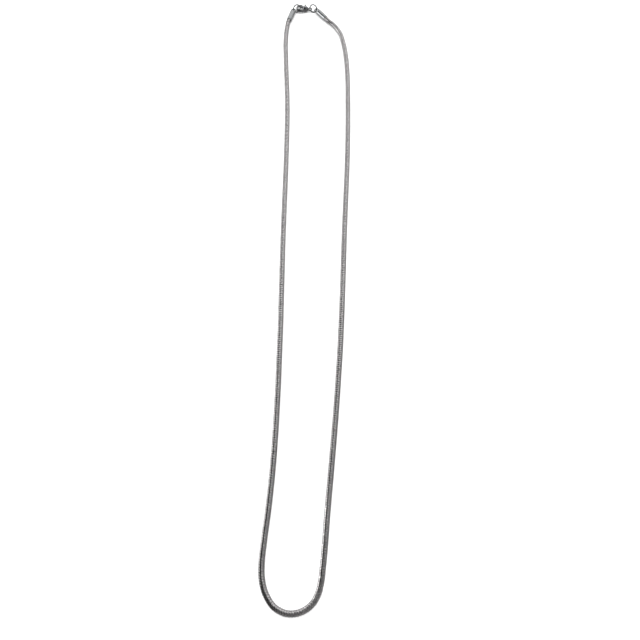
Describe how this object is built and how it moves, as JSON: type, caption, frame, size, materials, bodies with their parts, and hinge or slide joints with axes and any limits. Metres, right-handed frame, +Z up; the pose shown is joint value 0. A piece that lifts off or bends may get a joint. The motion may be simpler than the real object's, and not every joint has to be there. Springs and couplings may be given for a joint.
{
  "type": "snake chain necklace",
  "caption": "Round snake chain necklace, closed in a long narrow loop and lying flat, with capped ends, wire rings and a lobster clasp.",
  "frame": {"origin": "on the surface it lies on, at the middle of the loop's footprint", "axes": "+Z up from the surface, +Y along the loop from the bend towards the clasp, +X to the right seen from above with the clasp at the far end"},
  "size_m": [0.0341, 0.2917, 0.004],
  "materials": {
    "chain_silver": "polished",
    "findings_silver": "polished"
  },
  "bodies": {
    "necklace": {"chain": "chain_silver", "end_cap_left": "findings_silver", "end_cap_right": "findings_silver", "catch_ring": "findings_silver", "jump_ring": "findings_silver", "clasp_body": "findings_silver", "clasp_pin": "findings_silver"},
    "lever": {"clasp_lever": "findings_silver"}
  },
  "joints": [
    {"name": "lever_swing", "type": "hinge", "parent": "necklace", "child": "lever", "pos_m": [-0.00441, 0.1428, 0.0014], "axis": [0, 0, 1], "range_deg": [0, 14], "stiffness_Nm_per_rad": 0.002, "springref_deg": -11.46}
  ]
}
